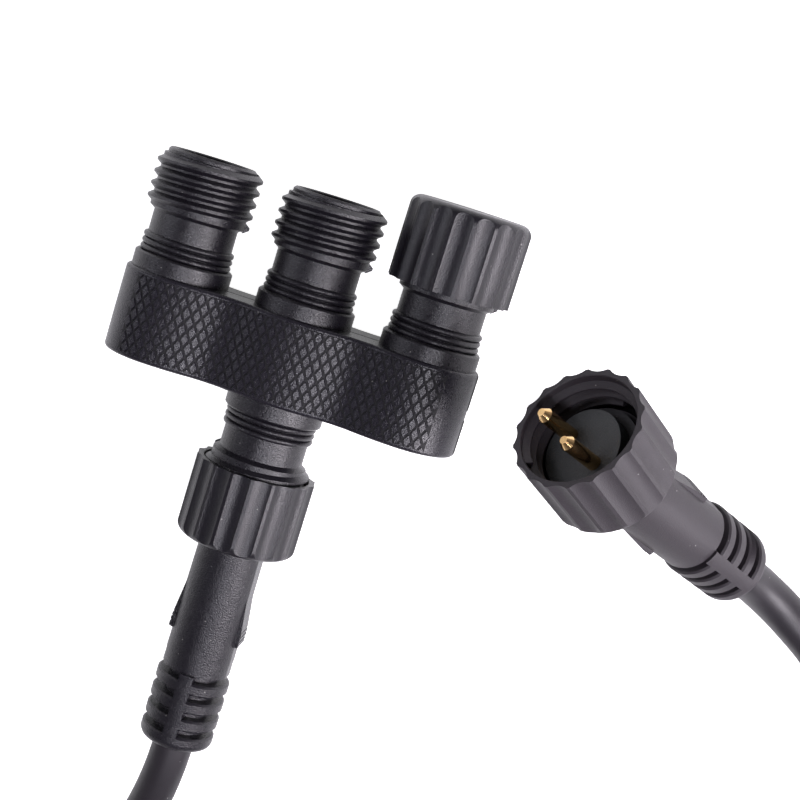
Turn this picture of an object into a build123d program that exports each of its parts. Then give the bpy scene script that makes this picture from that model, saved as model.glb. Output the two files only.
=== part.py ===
from build123d import *
import math
import os

# Three-way waterproof splitter for 12 V solar and garden lighting, with a dust cap on one
# outlet and a two-ended link lead screwed on its inlet.
# Frame: X along the row of outlets, +Y towards the outlets, +Z up, origin at the middle of
# the splitter's flat back. Millimetres.

os.makedirs("parts", exist_ok=True)

# ---------------------------------------------------------------- driving dimensions
PORT_SPACING = 21.5
AXIS_HEIGHT = 10.4
BODY_HEIGHT = 14.4
LOBE_R = 8.85
CROWN_R = 25.0
VALLEY_HALF_DEPTH = 7.2
WALL = 1.85
FACE_WALL = 2.0
SEAM_BAND = 1.0
SEAM_PROUD = 0.1

THREAD_PITCH = 2.0
THREAD_ROOT_R = 7.95
THREAD_CREST_R = 8.75
THREAD_START = 10.46
THREAD_LEAD_IN = 15
THREAD_TURNS = 4.15
THREAD_ROOT_END = 19.0
LIP_R = 7.4
LIP_END = 20.0

NUT_R = 10.15
NUT_BORE_R = 9.0
NUT_RIDGE_TIP_R = 8.1
NUT_RIM = 12.0
NUT_BACK = 25.3
FLUTES = 18
CAP_RIM = 11.1
CAP_TOP = 24.8

PIN_R = 1.15
PIN_OFFSET = 3.5
CABLE_R = 3.5

BODY_FACE = BODY_HEIGHT / 2
BORE_R = 6.55
CORE_R = 1.0

# A socket's own frame has its origin on the splitter's face and +Z out along the socket.
# A plug, nut or cap is drawn in the frame of the socket that it mates with.
output_planes = [
    Plane(origin=(x, BODY_FACE, AXIS_HEIGHT), x_dir=(1, 0, 0), z_dir=(0, 1, 0))
    for x in (-PORT_SPACING, 0, PORT_SPACING)
]
input_plane = Plane(origin=(0, -BODY_FACE, AXIS_HEIGHT), x_dir=(-1, 0, 0), z_dir=(0, -1, 0))


# ---------------------------------------------------------------- small tools
def save(name, shape):
    """Write one node."""
    export_step(shape, f"parts/{name}.step")


def group(*solids):
    """Several separate solids in one node."""
    return Compound([solid for item in solids for solid in item.solids()])


def rod(radius, low, high, x=0.0, y=0.0):
    """A cylinder along Z from low to high."""
    return Pos(x, y, low) * Cylinder(radius, high - low, align=(Align.CENTER, Align.CENTER, Align.MIN))


def ring(outer, inner, low, high):
    return rod(outer, low, high) - rod(inner, low - 1, high + 1)


def turned(points, round_at=None, round_r=0.0):
    """A body of revolution about Z from (radius, height) points, one of them rounded if named."""
    outline = make_face(Polyline(*[(r, 0, z) for r, z in points], close=True))
    if round_at is not None:
        corner = outline.vertices().sort_by_distance((round_at[0], 0, round_at[1]))[0]
        outline = fillet(corner, round_r)
    return revolve(outline, Axis.Z)


def box(low, high):
    size = [b - a for a, b in zip(low, high)]
    return Pos(*low) * Box(*size, align=(Align.MIN, Align.MIN, Align.MIN))


def helical_ridge(base_r, base_half, tip_r, tip_half, start, turns, lead_in=0):
    """A right-hand ridge of trapezium section, at height `start` at +X, begun `lead_in` degrees on."""
    first = start + THREAD_PITCH * lead_in / 360
    path = Helix(THREAD_PITCH, THREAD_PITCH * turns, base_r, center=(0, 0, first))
    section_plane = Plane(origin=path @ 0, x_dir=(1, 0, 0), z_dir=path % 0)
    reach = tip_r - base_r
    section = make_face(
        Polyline((0, -base_half), (reach, -tip_half), (reach, tip_half), (0, base_half), close=True)
    )
    return Rot(0, 0, lead_in) * sweep(section_plane * section, path=path, is_frenet=True)


# ---------------------------------------------------------------- splitter housing
def housing_profile(inset):
    """A row of three broad crowns, one over each outlet, with valleys between and round ends."""
    top = LOBE_R - inset
    valley = VALLEY_HALF_DEPTH - inset
    crown_r = CROWN_R - inset
    half_pitch = PORT_SPACING / 2
    # Radius of the valley's arc, tangent to both crowns, and the angle where they meet.
    valley_r = (half_pitch**2 + (crown_r + valley - top) ** 2 - crown_r**2) / (2 * (top - valley))
    meet = math.degrees(math.asin(half_pitch / (crown_r + valley_r)))
    profile = Sketch()
    for x in (-PORT_SPACING, PORT_SPACING):
        profile += Pos(x, 0) * Circle(top)
    for x in (-half_pitch, half_pitch):
        left = x - half_pitch
        right = x + half_pitch
        upper = [
            CenterArc((left, top - crown_r), crown_r, 90 - meet, meet),
            CenterArc((x, valley + valley_r), valley_r, 270 - meet, 2 * meet),
            CenterArc((right, top - crown_r), crown_r, 90, meet),
        ]
        lower = [mirror(arc, about=Plane.XZ) for arc in upper]
        ends = [Line((left, -top), (left, top)), Line((right, -top), (right, top))]
        profile += make_face(upper + lower + ends)
    return profile


def housing_block(inset, half_height):
    """The housing's outer or inner shape, as a solid along Y."""
    plane = Plane(origin=(0, half_height, AXIS_HEIGHT), x_dir=(1, 0, 0), z_dir=(0, -1, 0))
    return extrude(plane * housing_profile(inset), 2 * half_height)


REST_LAND = 4.5
REST_SLOPE = 1.2
outer = housing_block(0, BODY_FACE)
outer = fillet(outer.faces().filter_by(Axis.Y).edges(), 0.6)
cavity = housing_block(WALL, BODY_FACE - FACE_WALL)
# Flat lands on the back, one under each lobe, that the splitter rests on.
lands = Part()
for x in (-PORT_SPACING, 0, PORT_SPACING):
    land_outline = make_face(
        Polyline(
            (x - REST_LAND, 0),
            (x + REST_LAND, 0),
            (x + REST_LAND + REST_SLOPE, 4),
            (x - REST_LAND - REST_SLOPE, 4),
            close=True,
        )
    )
    land_plane = Plane(origin=(0, BODY_FACE - 1, 0), x_dir=(1, 0, 0), z_dir=(0, -1, 0))
    lands += extrude(land_plane * land_outline, BODY_HEIGHT - 2)

STUB_R = 6.2
STUB_DEPTH = 4.2
ANCHOR_R = 6.9
ANCHOR_DEPTH = 3.5
port_holes = [plane * rod(STUB_R, -STUB_DEPTH - 1, 1) for plane in output_planes + [input_plane]]

half_band = SEAM_BAND / 2
BIG = 100
front_half = box((-BIG, -BIG, AXIS_HEIGHT + half_band), (BIG, BIG, BIG))
rear_half = box((-BIG, -BIG, -BIG), (BIG, BIG, AXIS_HEIGHT - half_band))

hollow = cavity
for hole in port_holes:
    hollow += hole
front_shell = (outer - hollow) & front_half
rear_shell = ((outer + lands) - hollow) & rear_half
save("body_front_shell", front_shell)
save("body_rear_shell", rear_shell)

# The seal squeezed between the two shells stands slightly proud at the ends.
end_x = PORT_SPACING + LOBE_R + SEAM_PROUD
seam = box(
    (-end_x, -BODY_FACE, AXIS_HEIGHT - half_band), (end_x, BODY_FACE, AXIS_HEIGHT + half_band)
)
seam = fillet(seam.edges().filter_by(Axis.Z), 0.8)
seam -= hollow
GATE_MARK_R = 1.1
GATE_MARK_SETBACK = 0.6
for side in (-1, 1):
    seam -= Pos(side * (end_x + GATE_MARK_SETBACK), 0, AXIS_HEIGHT) * Cylinder(GATE_MARK_R, SEAM_BAND)
save("seam_gasket", group(seam))


# ---------------------------------------------------------------- sockets
COLLAR_R = 8.2
COLLAR_END = 2.75
BEAD_R = 0.5
BEAD_TRACK_R = 7.12
BEAD_PITCH = 1.05
NECK_R = 7.05
NECK_END = 9.6
INSULATOR_R = 5.85
INSULATOR_BORE_R = 5.9
INSULATOR_FRONT = 16.9
THREAD_BASE_HALF = 0.93
THREAD_CREST_HALF = 0.22


def make_socket():
    """The threaded tube of one port, with its stub and anchor ring inside the housing."""
    tube = turned(
        [
            (INSULATOR_BORE_R, -STUB_DEPTH),
            (STUB_R, -STUB_DEPTH),
            (STUB_R, -ANCHOR_DEPTH),
            (ANCHOR_R, -ANCHOR_DEPTH),
            (ANCHOR_R, -FACE_WALL),
            (STUB_R, -FACE_WALL),
            (STUB_R, 0),
            (COLLAR_R, 0),
            (COLLAR_R, COLLAR_END - 0.3),
            (COLLAR_R - 0.3, COLLAR_END),
            (NECK_R, COLLAR_END),
            (NECK_R, NECK_END),
            (THREAD_ROOT_R, NECK_END + 0.6),
            (THREAD_ROOT_R, THREAD_ROOT_END),
            (LIP_R, THREAD_ROOT_END + 0.15),
            (LIP_R, LIP_END - 0.35),
            (LIP_R - 0.35, LIP_END),
            (BORE_R + 0.2, LIP_END),
            (BORE_R, LIP_END - 0.2),
            (BORE_R, INSULATOR_FRONT),
            (INSULATOR_BORE_R, INSULATOR_FRONT),
        ]
    )
    for index in range(3):
        height = COLLAR_END + 0.55 + index * BEAD_PITCH
        tube += Pos(0, 0, height) * Torus(BEAD_TRACK_R, BEAD_R)
    ridge = helical_ridge(
        THREAD_ROOT_R - 0.15,
        THREAD_BASE_HALF,
        THREAD_CREST_R,
        THREAD_CREST_HALF,
        THREAD_START,
        THREAD_TURNS,
        THREAD_LEAD_IN,
    )
    return tube + ridge


SLEEVE_R = 1.7
SLEEVE_BORE_R = 1.2
SLEEVE_BACK = 6.0
SLEEVE_FRONT = 16.4
TAIL_R = 0.8
RAIL_HALF_WIDTH = 1.2
TAIL_END = RAIL_HALF_WIDTH - BODY_FACE


def make_insulator():
    """The carrier inside a socket that holds the two contact sleeves."""
    carrier = rod(INSULATOR_R, -STUB_DEPTH, INSULATOR_FRONT)
    for side in (-1, 1):
        y = side * PIN_OFFSET
        carrier -= rod(SLEEVE_R + 0.03, SLEEVE_BACK, SLEEVE_FRONT, y=y)
        carrier -= rod(SLEEVE_BORE_R + 0.15, SLEEVE_FRONT - 1, INSULATOR_FRONT + 1, y=y)
        carrier -= rod(TAIL_R + 0.03, -STUB_DEPTH - 1, SLEEVE_BACK + 1, y=y)
    return carrier


def make_contact(side):
    """One contact sleeve with its solder tail."""
    y = side * PIN_OFFSET
    sleeve = rod(SLEEVE_R, SLEEVE_BACK + 0.02, SLEEVE_FRONT - 0.02, y=y)
    sleeve -= rod(SLEEVE_BORE_R, SLEEVE_BACK + 2, SLEEVE_FRONT + 1, y=y)
    sleeve += rod(TAIL_R, TAIL_END, SLEEVE_BACK + 0.5, y=y)
    return sleeve


socket = make_socket()
insulator = make_insulator()
contacts = group(make_contact(-1), make_contact(1))
POTTING_GAP = 0.03
port_names = ["output_1", "output_2", "output_3", "input"]
potting = housing_block(WALL + POTTING_GAP, BODY_FACE - FACE_WALL - POTTING_GAP)
for name, plane in zip(port_names, output_planes + [input_plane]):
    save(f"{name}_socket", plane * socket)
    save(f"{name}_insulator", plane * insulator)
    save(f"{name}_contacts", plane * contacts)
    potting -= plane * rod(ANCHOR_R + POTTING_GAP, -ANCHOR_DEPTH - POTTING_GAP, 0)
    potting -= plane * rod(STUB_R + POTTING_GAP, -STUB_DEPTH - POTTING_GAP, 0)
    for side in (-1, 1):
        potting -= plane * rod(TAIL_R, TAIL_END, 0, y=side * PIN_OFFSET)

# Two rails, potted in resin, each join the contacts of one polarity.
RAIL_HALF_LENGTH = PORT_SPACING + RAIL_HALF_WIDTH
RAIL_THICKNESS = 1.0
for name, side in (("bus_rail_upper", 1), ("bus_rail_lower", -1)):
    z = AXIS_HEIGHT + side * PIN_OFFSET
    rail = box(
        (-RAIL_HALF_LENGTH, -RAIL_HALF_WIDTH, z - RAIL_THICKNESS / 2),
        (RAIL_HALF_LENGTH, RAIL_HALF_WIDTH, z + RAIL_THICKNESS / 2),
    )
    save(name, rail)
    potting -= rail
save("potting_fill", group(potting))


# ---------------------------------------------------------------- nut and cap
RIDGE_BASE_HALF = 0.9
RIDGE_TIP_HALF = 0.14
FLUTE_CUTTER_R = 3.2
FLUTE_DEPTH = 0.48


def fluted(shell, low, high):
    """Cut the shallow grip flutes, which fade out on the rounded shoulder."""
    track_r = NUT_R + FLUTE_CUTTER_R - FLUTE_DEPTH
    cutter = rod(FLUTE_CUTTER_R, low - 1, high + 1)
    for index in range(FLUTES):
        turn = Rot(0, 0, (index + 0.5) * 360 / FLUTES)
        shell -= turn * Pos(track_r, 0, 0) * cutter
    return shell


def inner_ridge(start, turns):
    """A nut's ridge, half a pitch from the socket's, so that it runs in the groove."""
    phase = THREAD_START + THREAD_PITCH / 2
    first = phase + THREAD_PITCH * math.ceil((start - phase) / THREAD_PITCH)
    return helical_ridge(
        NUT_BORE_R + 0.12, RIDGE_BASE_HALF, NUT_RIDGE_TIP_R, RIDGE_TIP_HALF, first, turns
    )


NUT_WALL_FRONT = 23.6
NUT_HOLE_R = 6.45


def make_nut():
    blank = turned(
        [
            (NUT_BORE_R, NUT_RIM + 0.1),
            (NUT_BORE_R + 0.1, NUT_RIM),
            (NUT_R, NUT_RIM),
            (NUT_R, NUT_BACK),
            (NUT_HOLE_R, NUT_BACK),
            (NUT_HOLE_R, NUT_WALL_FRONT),
            (NUT_BORE_R, NUT_WALL_FRONT),
        ],
        round_at=(NUT_R, NUT_BACK),
        round_r=1.6,
    )
    blank = fluted(blank, NUT_RIM, NUT_BACK)
    return blank + inner_ridge(13.4, 2.4)


SEAL_THICKNESS = 1.5
CAP_INSIDE = LIP_END + SEAL_THICKNESS + 0.05


def make_cap():
    blank = turned(
        [
            (0, CAP_INSIDE),
            (NUT_BORE_R, CAP_INSIDE),
            (NUT_BORE_R, CAP_RIM + 0.1),
            (NUT_BORE_R + 0.1, CAP_RIM),
            (NUT_R, CAP_RIM),
            (NUT_R, CAP_TOP),
            (0, CAP_TOP),
        ],
        round_at=(NUT_R, CAP_TOP),
        round_r=1.8,
    )
    blank = fluted(blank, CAP_RIM, CAP_TOP)
    return blank + inner_ridge(13.4, 2.6)


nut = make_nut()
save("plug_a_nut", input_plane * nut)
save("dust_cap", output_planes[2] * make_cap())
cap_seal = rod(NUT_BORE_R - 0.3, LIP_END + 0.03, CAP_INSIDE - 0.02)
save("dust_cap_seal", output_planes[2] * cap_seal)


# ---------------------------------------------------------------- plugs
NOSE_R = 6.4
NOSE_FACE = 17.6
PIN_TIP = 10.0
PIN_SHANK_R = 1.4
PIN_GROOVE_R = 0.9
PIN_SHANK_START = 18.1
FLANGE_R = 8.3
SEAL_R = 7.8
SEAT = LIP_END + SEAL_THICKNESS
STEM_R = 5.15
STEM_END = 29.0
GRIP_ROUND_R = 5.85
GRIP_HALF_FRONT = 5.25
GRIP_HALF_BACK = 5.65
MOULD_LINE = 45.4
MOULD_STEP = 0.06
RELIEF_START = 47.85
RELIEF_R = 6.25
PLUG_END = 61.3
TAB_START = 33.5
TAB_CREST = 40.0
TAB_END = 41.8
TAB_TOP = 6.15
TAB_HALF_HEIGHT = 2.4
SLOT_WIDTH = 1.2
SLOT_CHAMFER = 0.3
SLOT_PITCH = 3.2
SLOT_FLOOR_R = 4.3
SPINE_HALF_WIDTH = 1.2
CRIMP_R = 1.5
CRIMP_END = 32.0
CORE_EXIT_OFFSET = 1.6


def slanted_core(side, radius):
    """One core, from its pin's crimp in to its place in the cable."""
    start = Vector(0, side * PIN_OFFSET, CRIMP_END + 0.1)
    end = Vector(0, side * CORE_EXIT_OFFSET, PLUG_END - 0.1)
    section = Plane(origin=start, z_dir=end - start)
    return extrude(section * Circle(radius), (end - start).length)


def grip_block(shrink, low, high):
    """A length of the grip: round at front and back, with a flat on each side that widens backwards."""
    slope = (GRIP_HALF_BACK - GRIP_HALF_FRONT) / (RELIEF_START - SEAT)
    low_half = GRIP_HALF_FRONT + slope * (low - SEAT) - shrink
    high_half = GRIP_HALF_FRONT + slope * (high - SEAT) - shrink
    between_flats = make_face(
        Polyline(
            (-low_half, 0, low), (low_half, 0, low), (high_half, 0, high), (-high_half, 0, high), close=True
        )
    )
    flats = extrude(between_flats, 2 * GRIP_ROUND_R, dir=(0, 1, 0), both=True)
    return rod(GRIP_ROUND_R - shrink, low, high) & flats


def make_tab(side):
    """A wedge on one side of the grip, with three finger ribs cut near its high end."""
    inside = GRIP_HALF_FRONT - 0.5
    outline = make_face(
        Polyline(
            (side * inside, 0, TAB_START - 1),
            (side * GRIP_HALF_FRONT, 0, TAB_START - 1),
            (side * TAB_TOP, 0, TAB_CREST),
            (side * TAB_TOP, 0, TAB_END),
            (side * inside, 0, TAB_END + 0.3),
            close=True,
        )
    )
    tab = extrude(outline, TAB_HALF_HEIGHT, dir=(0, 1, 0), both=True)
    rib_pitch = 0.8
    rib_gap = 0.3
    for index in range(3):
        low = TAB_CREST - 0.9 + index * rib_pitch
        low_x, high_x = sorted((side * (TAB_TOP - 0.15), side * (TAB_TOP + 1)))
        tab -= box((low_x, -TAB_HALF_HEIGHT - 1, low), (high_x, TAB_HALF_HEIGHT + 1, low + rib_gap))
    return tab


def make_plug_body():
    """The moulded body: flange, grip with a tab on each flat side, slotted strain relief."""
    body = turned(
        [
            (0, SEAT),
            (FLANGE_R, SEAT),
            (FLANGE_R, SEAT + 2),
            (STEM_R, SEAT + 2),
            (STEM_R, RELIEF_START),
            (RELIEF_R, RELIEF_START),
            (RELIEF_R, PLUG_END),
            (0, PLUG_END),
        ],
        round_at=(RELIEF_R, PLUG_END),
        round_r=1.4,
    )
    body += grip_block(0, SEAT + 1, MOULD_LINE)
    body += grip_block(MOULD_STEP, MOULD_LINE, RELIEF_START)
    for side in (-1, 1):
        body += make_tab(side)
    for level in range(4):
        low = RELIEF_START + level * SLOT_PITCH
        high = low + SLOT_WIDTH
        slot = turned(
            [
                (SLOT_FLOOR_R, low),
                (RELIEF_R - SLOT_CHAMFER, low),
                (RELIEF_R + 1, low - SLOT_CHAMFER - 1 if level else low),
                (RELIEF_R + 1, high + SLOT_CHAMFER + 1),
                (RELIEF_R - SLOT_CHAMFER, high),
                (SLOT_FLOOR_R, high),
            ]
        )
        slot -= box((-SPINE_HALF_WIDTH, -10, low - 2), (SPINE_HALF_WIDTH, 10, low + 4))
        body -= slot
    body -= rod(STEM_R, SEAT - 1, STEM_END)
    for side in (-1, 1):
        body -= rod(CRIMP_R + 0.02, STEM_END - 1, CRIMP_END, y=side * PIN_OFFSET)
        body -= slanted_core(side, CORE_R + 0.03)
    return body


def make_plug_insert():
    """The round carrier that holds both pins, with its flat face at the plug's nose."""
    insert = rod(NOSE_R, NOSE_FACE, SEAT) + rod(STEM_R, SEAT, STEM_END)
    for side in (-1, 1):
        insert -= rod(PIN_GROOVE_R, NOSE_FACE - 1, STEM_END, y=side * PIN_OFFSET)
        insert -= rod(PIN_SHANK_R, PIN_SHANK_START, STEM_END + 1, y=side * PIN_OFFSET)
    return insert


def make_pin(side):
    """One pin: coned tip, bright length, groove and thicker shank in the carrier, crimp barrel."""
    y = side * PIN_OFFSET
    tip = Pos(0, y, PIN_TIP) * Cone(
        0.6, PIN_R, 1.0, align=(Align.CENTER, Align.CENTER, Align.MIN)
    )
    pin = tip + rod(PIN_R, PIN_TIP + 1, NOSE_FACE, y=y)
    pin += rod(PIN_GROOVE_R, NOSE_FACE, PIN_SHANK_START, y=y)
    pin += rod(PIN_SHANK_R, PIN_SHANK_START, STEM_END, y=y)
    return pin + rod(CRIMP_R, STEM_END, CRIMP_END, y=y)


plug_pieces = {
    "body": make_plug_body(),
    "insert": make_plug_insert(),
    "pins": group(make_pin(-1), make_pin(1)),
    "seal": ring(SEAL_R, NOSE_R, LIP_END + 0.03, SEAT),
    "cores": group(slanted_core(-1, CORE_R), slanted_core(1, CORE_R)),
}

# The free plug stands nose up on the end of its stiff cable. Its pins stand one above the
# other, and its loose nut has dropped back and tipped on the neck.
FREE_PLUG_TURN = 154.0
FREE_PLUG_RISE = 41.0
FREE_NUT_TURN = 140.3
FREE_NUT_RISE = 40.9
NUT_PIVOT = Vector(54.23, 2.4, 34.06)
NUT_DROP_BACK = 1.55


def aimed(turn, rise):
    """The unit direction at a compass angle from +X and a rise above level."""
    level = math.cos(math.radians(rise))
    return Vector(
        level * math.cos(math.radians(turn)),
        level * math.sin(math.radians(turn)),
        math.sin(math.radians(rise)),
    )


def mating_plane(nose, point, along):
    """The mating frame of a piece whose nose points at `nose` and whose +Z place `along` is `point`."""
    sideways = Vector(0, 0, 1).cross(nose).normalized()
    return Plane(origin=point + nose * along, x_dir=sideways, z_dir=nose * -1)


free_nose = aimed(FREE_PLUG_TURN, FREE_PLUG_RISE)
free_plane = mating_plane(free_nose, NUT_PIVOT, SEAT + 2 + NUT_DROP_BACK)
nut_nose = aimed(FREE_NUT_TURN, FREE_NUT_RISE)
nut_plane = mating_plane(nut_nose, NUT_PIVOT, NUT_WALL_FRONT)
for piece, shape in plug_pieces.items():
    save(f"plug_a_{piece}", input_plane * shape)
    save(f"plug_b_{piece}", free_plane * shape)
save("plug_b_nut", nut_plane * nut)
print("free nut axis", nut_nose, "pivot", NUT_PIVOT)
print("free plug axis", free_nose, "mating origin", free_plane.origin)


# ---------------------------------------------------------------- cable
def cable_tube(name, points):
    """A tube of straight runs with the largest arcs that the runs allow."""
    points = [Vector(*point) for point in points]
    radii = []
    for before, here, after in zip(points, points[1:], points[2:]):
        run_in = here - before
        run_out = after - here
        half_turn = math.radians(run_in.get_angle(run_out)) / 2
        radii.append(0.45 * min(run_in.length, run_out.length) / math.tan(half_turn))
    path = FilletPolyline(*points, radius=radii)
    section = Plane(origin=path @ 0, z_dir=path % 0)
    tube = sweep(section * Circle(CABLE_R), path=path)
    share = tube.volume / (math.pi * CABLE_R**2 * path.length)
    print(name, "length", round(path.length, 1), "volume share", round(share, 4))
    print(name, "radii", [round(radius, 1) for radius in radii])
    save(name, tube)


COIL_R = 36.0
COIL_CENTRE = (73.0, -111.0)
COIL_BASE = 1.2
COIL_TURNS = 3.25
COIL_RISE = 7.2
coil_entry_z = COIL_BASE + CABLE_R
coil_exit_z = coil_entry_z + COIL_TURNS * COIL_RISE
plug_a_end = input_plane.from_local_coords(Vector(0, 0, PLUG_END))
plug_b_end = free_plane.from_local_coords(Vector(0, 0, PLUG_END))
print("plug ends", plug_a_end, plug_b_end)

cable_tube(
    "cable_run_a",
    [
        plug_a_end,
        (0, -76.5, 10.4),
        (-3.8, -91.5, 6.6),
        (-4.2, -110, 4.0),
        (4, -129, 3.7),
        (22, -143, 3.9),
        (47, -148.5, 4.3),
        (COIL_CENTRE[0], COIL_CENTRE[1] - COIL_R, coil_entry_z),
    ],
)

# The free end's cable leaves the plug at the plug's slope and levels out in three short bends.
LEVELLING_RUN = 5.0
levelling_bends = [(FREE_PLUG_TURN - 180, -FREE_PLUG_RISE), (-27.0, -27.5), (-28.5, -13.0)]
levelling = [plug_b_end]
for turn, fall in levelling_bends:
    levelling.append(levelling[-1] + aimed(turn, fall) * LEVELLING_RUN)
print("levelling points", levelling)
cable_tube(
    "cable_run_b",
    levelling
    + [
        (98.5, -20.5, 3.6),
        (111, -32, 3.7),
        (118.5, -48, 4.6),
        (120.5, -64, 10.0),
        (118, -80, 17.8),
        (113, -96, 24.6),
        (COIL_CENTRE[0] + COIL_R, COIL_CENTRE[1], coil_exit_z),
    ],
)

coil_half_width = CABLE_R + 0.1
coil_top = 2 * CABLE_R + COIL_BASE + (COIL_TURNS - 0.25) * COIL_RISE
coil = Pos(*COIL_CENTRE, 0) * ring(
    COIL_R + coil_half_width, COIL_R - coil_half_width, COIL_BASE, coil_top
)
save("cable_coil", coil)

TIE_THICKNESS = 1.0
TIE_WIDTH = 5.0
tie_low = (COIL_R - coil_half_width - TIE_THICKNESS - 0.3, -TIE_WIDTH / 2, 0.1)
tie_high = (COIL_R + coil_half_width + TIE_THICKNESS + 0.3, TIE_WIDTH / 2, coil_top + 1.1)
tie_gap_low = (tie_low[0] + TIE_THICKNESS, -TIE_WIDTH, COIL_BASE - 0.1)
tie_gap_high = (tie_high[0] - TIE_THICKNESS, TIE_WIDTH, coil_top + 0.1)
tie = box(tie_low, tie_high) - box(tie_gap_low, tie_gap_high)
save("coil_tie", Pos(*COIL_CENTRE, 0) * Rot(0, 0, 135) * tie)
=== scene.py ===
import math

import bpy
from mathutils import Matrix, Vector


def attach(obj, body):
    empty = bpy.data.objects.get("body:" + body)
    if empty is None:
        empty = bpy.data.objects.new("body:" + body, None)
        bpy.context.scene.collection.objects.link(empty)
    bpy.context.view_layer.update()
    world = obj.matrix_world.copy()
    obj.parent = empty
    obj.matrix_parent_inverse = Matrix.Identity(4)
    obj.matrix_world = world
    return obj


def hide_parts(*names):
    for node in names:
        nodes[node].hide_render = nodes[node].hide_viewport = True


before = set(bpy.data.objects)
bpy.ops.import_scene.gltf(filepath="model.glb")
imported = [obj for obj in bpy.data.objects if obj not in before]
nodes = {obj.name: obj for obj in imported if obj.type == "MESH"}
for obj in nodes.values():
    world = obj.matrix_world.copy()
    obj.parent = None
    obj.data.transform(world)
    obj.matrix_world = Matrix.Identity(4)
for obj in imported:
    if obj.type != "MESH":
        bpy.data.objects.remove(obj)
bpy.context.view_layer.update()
scene = bpy.context.scene

# Camera: a 70 mm lens a quarter of a metre above the splitter's face. It leans over the
# outlets and is turned so that their row runs down to the right.
CAMERA_PLACE = Vector((0.0431, 0.0366, 0.2621))
CAMERA_FORWARD = Vector((-0.09275, -0.14681, -0.98481))
CAMERA_UP = Vector((-0.31300, 0.94323, -0.11114))
LENS_LENGTH_MM = 70.5
SENSOR_WIDTH_MM = 36.0
NEAREST_SEEN = 0.01
FARTHEST_SEEN = 10.0
camera = bpy.data.objects.new("camera", bpy.data.cameras.new("camera"))
camera.data.lens = LENS_LENGTH_MM
camera.data.sensor_width = SENSOR_WIDTH_MM
camera.data.clip_start = NEAREST_SEEN
camera.data.clip_end = FARTHEST_SEEN
forward = CAMERA_FORWARD.normalized()
sideways = forward.cross(CAMERA_UP).normalized()
upward = sideways.cross(forward)
facing = Matrix((sideways, upward, -forward)).transposed()
camera.matrix_world = Matrix.Translation(CAMERA_PLACE) @ facing.to_4x4()
scene.collection.objects.link(camera)
scene.camera = camera


# Link lead: just under a metre of round two-core cable, 7 mm across, in an extruded jacket.
# It runs from the strain relief of the screwed-on plug to that of the free plug, and the
# length that isn't in use is wound in a neat coil on the table.
CABLE_DIAMETER = 0.007
COIL_CENTRE = (0.073, -0.111)
COIL_RADIUS = 0.036
COIL_ENTRY_HEIGHT = 0.0047
COIL_RISE = 0.0072
COIL_TURNS = 3.25
POINTS_PER_TURN = 16
lead_exit = (0.0, -0.0685, 0.0104)
free_plug_exit = (0.0788194, -0.0095931, 0.0102779)
from_lead_plug = [
    lead_exit,
    (0.0, -0.0765, 0.0104),
    (-0.0038, -0.0915, 0.0066),
    (-0.0042, -0.110, 0.0040),
    (0.004, -0.129, 0.0037),
    (0.022, -0.143, 0.0039),
    (0.047, -0.1485, 0.0043),
]
to_free_plug = [
    (0.113, -0.096, 0.0246),
    (0.118, -0.080, 0.0178),
    (0.1205, -0.064, 0.0100),
    (0.1185, -0.048, 0.0046),
    (0.111, -0.032, 0.0037),
    (0.0985, -0.0205, 0.0036),
    (0.0904442, -0.0155854, 0.0035641),
    (0.0861627, -0.0132607, 0.0046888),
    (0.0822110, -0.0112473, 0.0069976),
    free_plug_exit,
]


def coil_points():
    """The route round the coil, anticlockwise and climbing one diameter a turn."""
    points = []
    for step in range(int(COIL_TURNS * POINTS_PER_TURN) + 1):
        turn = step / POINTS_PER_TURN
        angle = math.tau * turn - math.pi / 2
        x = COIL_CENTRE[0] + COIL_RADIUS * math.cos(angle)
        y = COIL_CENTRE[1] + COIL_RADIUS * math.sin(angle)
        points.append((x, y, COIL_ENTRY_HEIGHT + COIL_RISE * turn))
    return points


def round_cable(name, points, diameter):
    """A cable of round section along a smooth line."""
    curve = bpy.data.curves.new(name, "CURVE")
    curve.dimensions = "3D"
    curve.bevel_depth = diameter / 2
    curve.bevel_resolution = 8
    curve.resolution_u = 8
    curve.use_fill_caps = True
    spline = curve.splines.new("NURBS")
    spline.points.add(len(points) - 1)
    for place, point in zip(spline.points, points):
        place.co = (*point, 1.0)
    spline.order_u = 3
    spline.use_endpoint_u = True
    cable = bpy.data.objects.new(name, curve)
    scene.collection.objects.link(cable)
    return cable


def shader_group(name, inputs, outputs):
    """An empty shader group with sockets: (name, kind, default) in and (name, kind) out."""
    group = bpy.data.node_groups.new(name, "ShaderNodeTree")
    for label, kind, value in inputs:
        group.interface.new_socket(label, in_out="INPUT", socket_type=kind).default_value = value
    for label, kind in outputs:
        group.interface.new_socket(label, in_out="OUTPUT", socket_type=kind)
    return group, group.nodes.new("NodeGroupInput"), group.nodes.new("NodeGroupOutput")


def noise(tree, place, scale, detail=3.0):
    """A noise texture fixed to the piece; its features per metre are a number or a socket."""
    texture = tree.nodes.new("ShaderNodeTexNoise")
    if isinstance(scale, float):
        texture.inputs["Scale"].default_value = scale
    else:
        tree.links.new(scale, texture.inputs["Scale"])
    texture.inputs["Detail"].default_value = detail
    tree.links.new(place, texture.inputs["Vector"])
    return texture.outputs["Fac"]


def math_node(tree, operation, *values):
    """One arithmetic step, fed by sockets or by plain numbers."""
    step = tree.nodes.new("ShaderNodeMath")
    step.operation = operation
    for socket, value in zip(step.inputs, values):
        if isinstance(value, (int, float)):
            socket.default_value = value
        else:
            tree.links.new(value, socket)
    return step.outputs[0]


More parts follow.
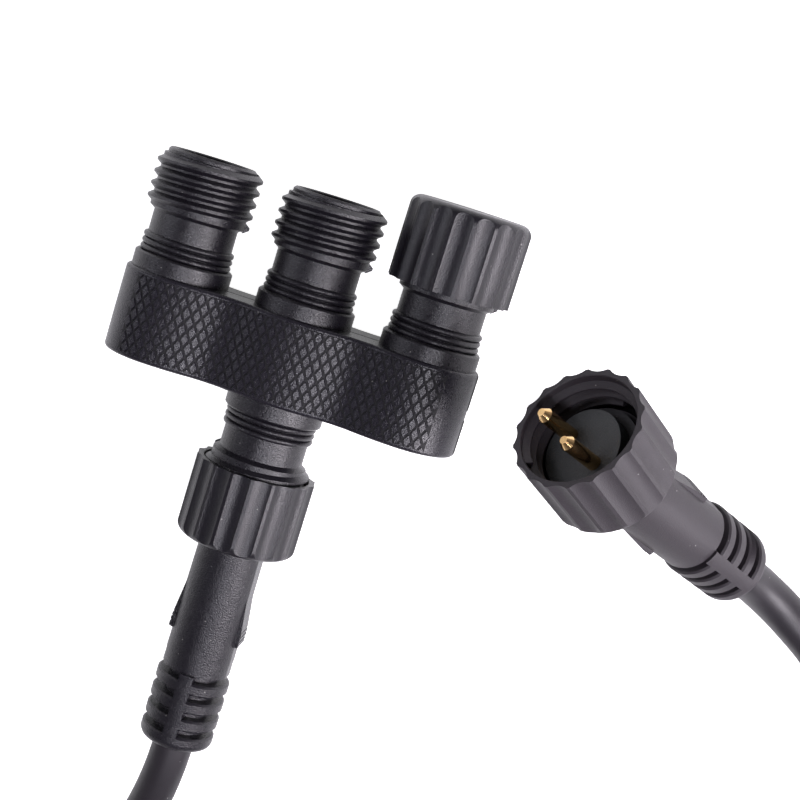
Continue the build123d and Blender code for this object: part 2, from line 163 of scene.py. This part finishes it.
def colour_mix(tree, share, first, second):
    """Two colours, sockets or plain, mixed by a share that varies over the surface."""
    mix = tree.nodes.new("ShaderNodeMix")
    mix.data_type = "RGBA"
    tree.links.new(share, mix.inputs["Factor"])
    for socket, colour in ((mix.inputs[6], first), (mix.inputs[7], second)):
        if isinstance(colour, tuple):
            socket.default_value = (*colour, 1)
        else:
            tree.links.new(colour, socket)
    return mix.outputs[2]


SWELLS_PER_METRE = 140.0
SWELL_SHARE = 0.35
PIT_DETAIL = 2.0


def build_moulding_grain():
    """The blasted skin of a steel mould: fine pits over a slow unevenness of the surface."""
    group, start, end = shader_group(
        "moulding_grain",
        [
            ("Colour", "NodeSocketColor", (0.02, 0.02, 0.02, 1)),
            ("Tint", "NodeSocketColor", (0.03, 0.03, 0.03, 1)),
            ("Pits per metre", "NodeSocketFloat", 4000.0),
            ("Roughness", "NodeSocketFloat", 0.45),
            ("Gloss change", "NodeSocketFloat", 0.2),
        ],
        [
            ("Colour", "NodeSocketColor"),
            ("Roughness", "NodeSocketFloat"),
            ("Height", "NodeSocketFloat"),
        ],
    )
    place = group.nodes.new("ShaderNodeTexCoord").outputs["Object"]
    pits = noise(group, place, start.outputs["Pits per metre"], PIT_DETAIL)
    swell = noise(group, place, SWELLS_PER_METRE)
    tinted = colour_mix(group, swell, start.outputs["Colour"], start.outputs["Tint"])
    group.links.new(tinted, end.inputs["Colour"])
    centred = math_node(group, "SUBTRACT", pits, 0.5)
    change = math_node(group, "MULTIPLY", centred, start.outputs["Gloss change"])
    gloss = math_node(group, "ADD", change, start.outputs["Roughness"])
    group.links.new(gloss, end.inputs["Roughness"])
    height = math_node(group, "MULTIPLY_ADD", swell, SWELL_SHARE, pits)
    group.links.new(height, end.inputs["Height"])
    return group


SPECK_CELLS_PER_METRE = 700.0
SPECK_PATCHES_PER_METRE = 260.0
PATCH_LEVEL = 0.56
SPECK_STRENGTH = 0.35
SPECK_COLOUR = (0.55, 0.53, 0.50)


def build_workshop_dust():
    """A few pale specks of dust that lie in patches."""
    group, start, end = shader_group(
        "workshop_dust",
        [
            ("Colour", "NodeSocketColor", (0.02, 0.02, 0.02, 1)),
            ("Speck size", "NodeSocketFloat", 0.08),
        ],
        [("Colour", "NodeSocketColor")],
    )
    place = group.nodes.new("ShaderNodeTexCoord").outputs["Object"]
    cells = group.nodes.new("ShaderNodeTexVoronoi")
    cells.inputs["Scale"].default_value = SPECK_CELLS_PER_METRE
    group.links.new(place, cells.inputs["Vector"])
    near = math_node(group, "LESS_THAN", cells.outputs["Distance"], start.outputs["Speck size"])
    cloud = noise(group, place, SPECK_PATCHES_PER_METRE)
    patches = math_node(group, "GREATER_THAN", cloud, PATCH_LEVEL)
    specks = math_node(group, "MULTIPLY", near, patches)
    share = math_node(group, "MULTIPLY", specks, SPECK_STRENGTH)
    dusty = colour_mix(group, share, start.outputs["Colour"], SPECK_COLOUR)
    group.links.new(dusty, end.inputs["Colour"])
    return group


moulding_grain = build_moulding_grain()
workshop_dust = build_workshop_dust()


PLASTIC_IOR = 1.5


def moulded_plastic(name, colour, tint, pits, roughness, pit_depth, gloss_change=0.2):
    """Injection-moulded plastic with a blasted skin and a little dust."""
    material = bpy.data.materials.new(name)
    material.use_nodes = True
    tree = material.node_tree
    shader = tree.nodes["Principled BSDF"]
    shader.inputs["IOR"].default_value = PLASTIC_IOR
    grain = tree.nodes.new("ShaderNodeGroup")
    grain.node_tree = moulding_grain
    grain.inputs["Colour"].default_value = (*colour, 1)
    grain.inputs["Tint"].default_value = (*tint, 1)
    grain.inputs["Pits per metre"].default_value = pits
    grain.inputs["Roughness"].default_value = roughness
    grain.inputs["Gloss change"].default_value = gloss_change
    specks = tree.nodes.new("ShaderNodeGroup")
    specks.node_tree = workshop_dust
    relief = tree.nodes.new("ShaderNodeBump")
    relief.inputs["Distance"].default_value = pit_depth
    tree.links.new(grain.outputs["Colour"], specks.inputs["Colour"])
    tree.links.new(specks.outputs["Colour"], shader.inputs["Base Color"])
    tree.links.new(grain.outputs["Roughness"], shader.inputs["Roughness"])
    tree.links.new(grain.outputs["Height"], relief.inputs["Height"])
    tree.links.new(relief.outputs["Normal"], shader.inputs["Normal"])
    return material


lead_cable = round_cable(
    "lead_cable", from_lead_plug + coil_points() + to_free_plug, CABLE_DIAMETER
)
cable_jacket = moulded_plastic(
    "cable_jacket", (0.0150, 0.0128, 0.0165), (0.0225, 0.0195, 0.0240), 6500.0, 0.45, 0.00002
)
lead_cable.data.materials.append(cable_jacket)
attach(lead_cable, "lead")
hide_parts("cable_run_a", "cable_coil", "cable_run_b")


# Coil tie: a flat black strap round the turns of the coil, which it holds together. It is
# plain plastic strip.
def dress(material, *names):
    """Give CAD nodes their material."""
    for name in names:
        slots = nodes[name].data.materials
        if len(slots) == 0:
            slots.append(material)
        for index in range(len(slots)):
            slots[index] = material


tie_plastic = moulded_plastic(
    "tie_plastic", (0.010, 0.010, 0.011), (0.018, 0.017, 0.019), 3000.0, 0.40, 0.000008
)
dress(tie_plastic, "coil_tie")


# Splitter housing: two black shells, moulded with a blasted skin, that meet over a thin
# seal at mid-height. Their face is a row of three broad crowns with shallow valleys between.
housing_plastic = moulded_plastic(
    "housing_plastic",
    (0.0090, 0.0078, 0.0125),
    (0.0125, 0.0110, 0.0170),
    4400.0,
    0.30,
    0.00007,
    0.3,
)
dress(housing_plastic, "body_front_shell", "body_rear_shell")


# Grip pattern: rows of small raised diamonds on the front shell, part of the same moulding.
# They leave narrow grooves between them and stop short of the plain ends of the splitter.
PORT_SPACING = 0.0215
AXIS_HEIGHT = 0.0104
LOBE_R = 0.00885
CROWN_R = 0.025
VALLEY_HALF_DEPTH = 0.0072
DIAMOND_LONG = 0.00276
DIAMOND_WIDE = 0.00166
DIAMOND_SHARE = 0.84
DIAMOND_RISE = 0.00022
DIAMOND_ROOT = 0.00003
DIAMOND_BEVEL = 0.00014
DIAMOND_CORNER_CUT = 0.06
PATTERN_HALF_LENGTH = 0.0262
PATTERN_HALF_WIDTH = 0.0065


def face_height(x):
    """The front shell's height at x: a broad crown over each port, a hollow between ports."""
    half_pitch = PORT_SPACING / 2
    deep = CROWN_R + VALLEY_HALF_DEPTH - LOBE_R
    valley_r = (half_pitch**2 + deep**2 - CROWN_R**2) / (2 * (LOBE_R - VALLEY_HALF_DEPTH))
    meet = half_pitch * CROWN_R / (CROWN_R + valley_r)
    offset = min(abs(x - port) for port in (-PORT_SPACING, 0, PORT_SPACING))
    if abs(x) > PORT_SPACING:
        return AXIS_HEIGHT + math.sqrt(max(0.0, LOBE_R**2 - offset**2))
    if offset <= meet:
        return AXIS_HEIGHT + LOBE_R - CROWN_R + math.sqrt(CROWN_R**2 - offset**2)
    centre_height = VALLEY_HALF_DEPTH + valley_r
    return AXIS_HEIGHT + centre_height - math.sqrt(valley_r**2 - (half_pitch - offset) ** 2)


def clipped(outline, axis, limit, sign):
    """The part of a convex outline on the inner side of one edge of the pattern."""
    kept = []
    for here, after in zip(outline, outline[1:] + outline[:1]):
        here_in = sign * here[axis] <= limit
        after_in = sign * after[axis] <= limit
        if here_in:
            kept.append(here)
        if here_in != after_in:
            share = (sign * limit - here[axis]) / (after[axis] - here[axis])
            kept.append(tuple(a + share * (b - a) for a, b in zip(here, after)))
    return kept


def diamond_outline(x, y):
    """One diamond with its four corners cut, clipped to the pattern's edges."""
    wide = DIAMOND_WIDE / 2 * DIAMOND_SHARE
    long = DIAMOND_LONG / 2 * DIAMOND_SHARE
    corners = [(wide, 0), (0, long), (-wide, 0), (0, -long)]
    outline = []
    for index, here in enumerate(corners):
        for other in (corners[index - 1], corners[(index + 1) % len(corners)]):
            cut = [p + DIAMOND_CORNER_CUT * (q - p) for p, q in zip(here, other)]
            outline.append((x + cut[0], y + cut[1]))
    for sign in (-1, 1):
        outline = clipped(outline, 1, PATTERN_HALF_WIDTH, sign)
    return outline


def diamond_mesh():
    """All the diamonds: each a bevelled pad that follows the curve of the face."""
    vertices = []
    faces = []
    columns = int(2 * PATTERN_HALF_LENGTH / DIAMOND_WIDE)
    rows = int(2 * PATTERN_HALF_WIDTH / DIAMOND_LONG) + 1
    for column in range(-columns, columns + 1):
        for row in range(-rows, rows + 1):
            x = column * DIAMOND_WIDE / 2
            y = row * DIAMOND_LONG / 2
            if (column + row) % 2 or abs(x) > PATTERN_HALF_LENGTH:
                continue
            outline = diamond_outline(x, y)
            if len(outline) < 3:
                continue
            centre = [sum(values) / len(outline) for values in zip(*outline)]
            first = len(vertices)
            count = len(outline)
            for px, py in outline:
                vertices.append((px, py, face_height(px) - DIAMOND_ROOT))
            for px, py in outline:
                reach = math.hypot(px - centre[0], py - centre[1])
                share = max(0.0, 1 - DIAMOND_BEVEL / reach)
                tx = centre[0] + share * (px - centre[0])
                ty = centre[1] + share * (py - centre[1])
                vertices.append((tx, ty, face_height(tx) + DIAMOND_RISE))
            vertices.append((*centre, face_height(centre[0]) + DIAMOND_RISE))
            for index in range(count):
                after = (index + 1) % count
                faces.append(
                    (first + index, first + after, first + count + after, first + count + index)
                )
                faces.append((first + count + index, first + count + after, first + 2 * count))
    mesh = bpy.data.meshes.new("diamond_grip")
    mesh.from_pydata(vertices, [], faces)
    return mesh


diamond_grip = bpy.data.objects.new("diamond_grip", diamond_mesh())
diamond_grip.data.materials.append(housing_plastic)
scene.collection.objects.link(diamond_grip)
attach(diamond_grip, "splitter")


# Groove floor: the net of narrow grooves between the diamonds, part of the same front shell.
# It is shown as a thin skin of its own, duller than the diamonds and darkened with painted
# shade that stands in for the shade deep in the grooves.
FLOOR_LIFT = 0.00001
FLOOR_STEPS = 160


def groove_shade_skin_mesh():
    """A thin skin of painted shade over the patterned part of the face, just proud of the shell.
    """
    vertices = []
    faces = []
    for step in range(FLOOR_STEPS + 1):
        x = PATTERN_HALF_LENGTH * (2 * step / FLOOR_STEPS - 1)
        z = face_height(x) + FLOOR_LIFT
        vertices.append((x, -PATTERN_HALF_WIDTH, z))
        vertices.append((x, PATTERN_HALF_WIDTH, z))
    for step in range(FLOOR_STEPS):
        first = 2 * step
        faces.append((first, first + 2, first + 3, first + 1))
    mesh = bpy.data.meshes.new("groove_shade_skin")
    mesh.from_pydata(vertices, [], faces)
    return mesh


# Its colour, a third as bright as the housing's, is painted shade for the grooves.
groove_shade_plastic = moulded_plastic(
    "groove_shade_plastic", (0.0030, 0.0026, 0.0038), (0.0050, 0.0044, 0.0064), 5000.0, 0.70, 0.00004
)
groove_shade_skin = bpy.data.objects.new("groove_shade_skin", groove_shade_skin_mesh())
groove_shade_skin.data.materials.append(groove_shade_plastic)
scene.collection.objects.link(groove_shade_skin)
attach(groove_shade_skin, "splitter")


# Seals: the strip squeezed between the two shells, and the flat ring or disc in each plug
# and in the cap. They are soft black rubber with a dull, slightly dusty skin.
seal_rubber = moulded_plastic(
    "seal_rubber", (0.011, 0.0105, 0.012), (0.019, 0.018, 0.020), 2600.0, 0.62, 0.00002
)
dress(seal_rubber, "seam_gasket", "dust_cap_seal", "plug_a_seal", "plug_b_seal")


# Sockets: four black tubes with a collar, three beads and a coarse thread, fixed in the
# housing. Their plastic is a little darker than the housing's.
PORT_NAMES = ("output_1", "output_2", "output_3", "input")
socket_plastic = moulded_plastic(
    "socket_plastic",
    (0.0065, 0.0057, 0.0085),
    (0.0105, 0.0092, 0.0130),
    4400.0,
    0.31,
    0.00008,
    0.3,
)
dress(socket_plastic, *[f"{port}_socket" for port in PORT_NAMES])


# Contact carriers: dull plastic plugs pressed into the sockets and into the noses of the
# plugs. They are a slightly green dark grey and hold the contacts at their 7 mm spacing.
carrier_plastic = moulded_plastic(
    "carrier_plastic", (0.0240, 0.0270, 0.0275), (0.0440, 0.0470, 0.0470), 4500.0, 0.48, 0.00009
)
dress(carrier_plastic, *[f"{port}_insulator" for port in PORT_NAMES])
dress(carrier_plastic, "plug_a_insert", "plug_b_insert")


# Contacts: turned brass pins and sleeves with a bright gold plate, which shows fine turning
# marks and a slight cloud of handling.
TARNISH_PER_METRE = 900.0
TARNISH_DULLING = 0.12
MARKS_PER_METRE = 7000.0
MARK_DEPTH = 0.000004
MARK_DETAIL = 2.0


def plated_metal(name, colour, shadow, roughness):
    """Bright plated or rolled metal with a cloud of tarnish and fine turning marks."""
    material = bpy.data.materials.new(name)
    material.use_nodes = True
    tree = material.node_tree
    shader = tree.nodes["Principled BSDF"]
    shader.inputs["Metallic"].default_value = 1.0
    place = tree.nodes.new("ShaderNodeTexCoord").outputs["Object"]
    cloud = noise(tree, place, TARNISH_PER_METRE)
    marks = noise(tree, place, MARKS_PER_METRE, MARK_DETAIL)
    tree.links.new(colour_mix(tree, cloud, colour, shadow), shader.inputs["Base Color"])
    worn = math_node(tree, "MULTIPLY_ADD", cloud, TARNISH_DULLING, roughness)
    tree.links.new(worn, shader.inputs["Roughness"])
    relief = tree.nodes.new("ShaderNodeBump")
    relief.inputs["Distance"].default_value = MARK_DEPTH
    tree.links.new(marks, relief.inputs["Height"])
    tree.links.new(relief.outputs["Normal"], shader.inputs["Normal"])
    return material


gold_plate = plated_metal("gold_plate", (0.92, 0.66, 0.34), (0.72, 0.42, 0.16), 0.10)
dress(gold_plate, *[f"{port}_contacts" for port in PORT_NAMES], "plug_a_pins", "plug_b_pins")


# Bus rails and potting: two brass strips join the contacts of one polarity, and black cast
# resin fills the housing round them.
rail_brass = plated_metal("rail_brass", (0.70, 0.50, 0.22), (0.48, 0.30, 0.12), 0.28)
dress(rail_brass, "bus_rail_upper", "bus_rail_lower")
potting_resin = moulded_plastic(
    "potting_resin", (0.008, 0.008, 0.009), (0.013, 0.013, 0.014), 900.0, 0.15, 0.00001
)
dress(potting_resin, "potting_fill")


# Dust cap and lead nut: black moulded screw pieces with shallow grip flutes all round. The
# flutes carry long soft stripes of light.
nut_plastic = moulded_plastic(
    "nut_plastic", (0.0055, 0.0048, 0.0078), (0.0085, 0.0074, 0.0115), 4600.0, 0.34, 0.00006
)
dress(nut_plastic, "dust_cap", "plug_a_nut")


# Lead plug: the body is moulded over the cable's end, in a soft black plastic with a coarse
# skin. The cable's red cores are inside it.
lead_plastic = moulded_plastic(
    "lead_plastic",
    (0.0065, 0.0057, 0.0090),
    (0.0100, 0.0088, 0.0130),
    4200.0,
    0.32,
    0.00010,
    0.3,
)
dress(lead_plastic, "plug_a_body")
core_sheath = moulded_plastic(
    "core_sheath", (0.25, 0.02, 0.015), (0.33, 0.035, 0.025), 3000.0, 0.40, 0.00001
)
dress(core_sheath, "plug_a_cores", "plug_b_cores")


# Free plug: the same moulding at the lead's other end, in a warmer and paler grey-black. Its
# nut is loose on the neck.
free_plastic = moulded_plastic(
    "free_plug_plastic", (0.0235, 0.0193, 0.0240), (0.0305, 0.0254, 0.0305), 5000.0, 0.54, 0.00004
)
dress(free_plastic, "plug_b_nut", "plug_b_body")


# Studio: a glowing white table that lights the object less than it looks, in a white room
# with a dim ceiling. A soft box stands on the right, a narrow one high up, and a weak one on
# the left.
TABLE_HALF = 3.0
TABLE_GREY = 0.9
TABLE_ROUGHNESS = 0.9
TABLE_GLOW = 1.0
TABLE_SPILL = 0.45
WALL_TOP = 0.15
CEILING_EDGE = 0.75
WALL_LIGHT = 0.36
CEILING_LIGHT = 0.07
ROOM_COLOUR = (0.97, 0.93, 1.0)
table_top = bpy.data.objects.new("table_top", bpy.data.meshes.new("table_top"))
table_top.data.from_pydata(
    [
        (-TABLE_HALF, -TABLE_HALF, 0),
        (TABLE_HALF, -TABLE_HALF, 0),
        (TABLE_HALF, TABLE_HALF, 0),
        (-TABLE_HALF, TABLE_HALF, 0),
    ],
    [],
    [(0, 1, 2, 3)],
)
scene.collection.objects.link(table_top)
white_table = bpy.data.materials.new("white_table")
white_table.use_nodes = True
table_tree = white_table.node_tree
table_shader = table_tree.nodes["Principled BSDF"]
table_shader.inputs["Base Color"].default_value = (TABLE_GREY, TABLE_GREY, TABLE_GREY, 1)
table_shader.inputs["Roughness"].default_value = TABLE_ROUGHNESS
table_shader.inputs["Emission Color"].default_value = (1, 1, 1, 1)
ray_kind = table_tree.nodes.new("ShaderNodeLightPath").outputs["Is Camera Ray"]
glow = math_node(table_tree, "MULTIPLY_ADD", ray_kind, TABLE_GLOW - TABLE_SPILL, TABLE_SPILL)
table_tree.links.new(glow, table_shader.inputs["Emission Strength"])
table_top.data.materials.append(white_table)

room = bpy.data.worlds.new("studio_room")
room.use_nodes = True
room_tree = room.node_tree
room_light = room_tree.nodes["Background"]
height_split = room_tree.nodes.new("ShaderNodeSeparateXYZ")
room_place = room_tree.nodes.new("ShaderNodeTexCoord").outputs["Generated"]
room_tree.links.new(room_place, height_split.inputs["Vector"])
walls = room_tree.nodes.new("ShaderNodeMapRange")
walls.inputs["From Min"].default_value = WALL_TOP
walls.inputs["From Max"].default_value = CEILING_EDGE
walls.inputs["To Min"].default_value = WALL_LIGHT
walls.inputs["To Max"].default_value = CEILING_LIGHT
room_tree.links.new(height_split.outputs["Z"], walls.inputs["Value"])
room_tree.links.new(walls.outputs["Result"], room_light.inputs["Strength"])
room_light.inputs["Color"].default_value = (*ROOM_COLOUR, 1)
scene.world = room


def soft_box(name, place, aim, width, height, power, colour):
    """A rectangular soft box that points at a place."""
    light = bpy.data.lights.new(name, "AREA")
    light.shape = "RECTANGLE"
    light.size = width
    light.size_y = height
    light.energy = power
    light.color = colour
    lamp = bpy.data.objects.new(name, light)
    lamp.location = place
    lamp.rotation_mode = "QUATERNION"
    lamp.rotation_quaternion = (Vector(aim) - Vector(place)).to_track_quat("-Z", "Y")
    scene.collection.objects.link(lamp)


soft_box(
    "key_box",
    place=(0.36, -0.05, 0.24),
    aim=(0.02, -0.01, 0.01),
    width=0.12,
    height=0.30,
    power=2.2,
    colour=(0.98, 0.93, 1.0),
)
soft_box(
    "top_box",
    place=(0.15, -0.11, 0.56),
    aim=(0.0, -0.01, 0.01),
    width=0.04,
    height=0.16,
    power=1.4,
    colour=(0.93, 0.91, 1.0),
)
soft_box(
    "fill_box",
    place=(-0.36, 0.06, 0.26),
    aim=(0.0, 0.0, 0.01),
    width=0.08,
    height=0.3,
    power=0.4,
    colour=(0.90, 0.90, 1.0),
)
scene.view_settings.view_transform = "Standard"
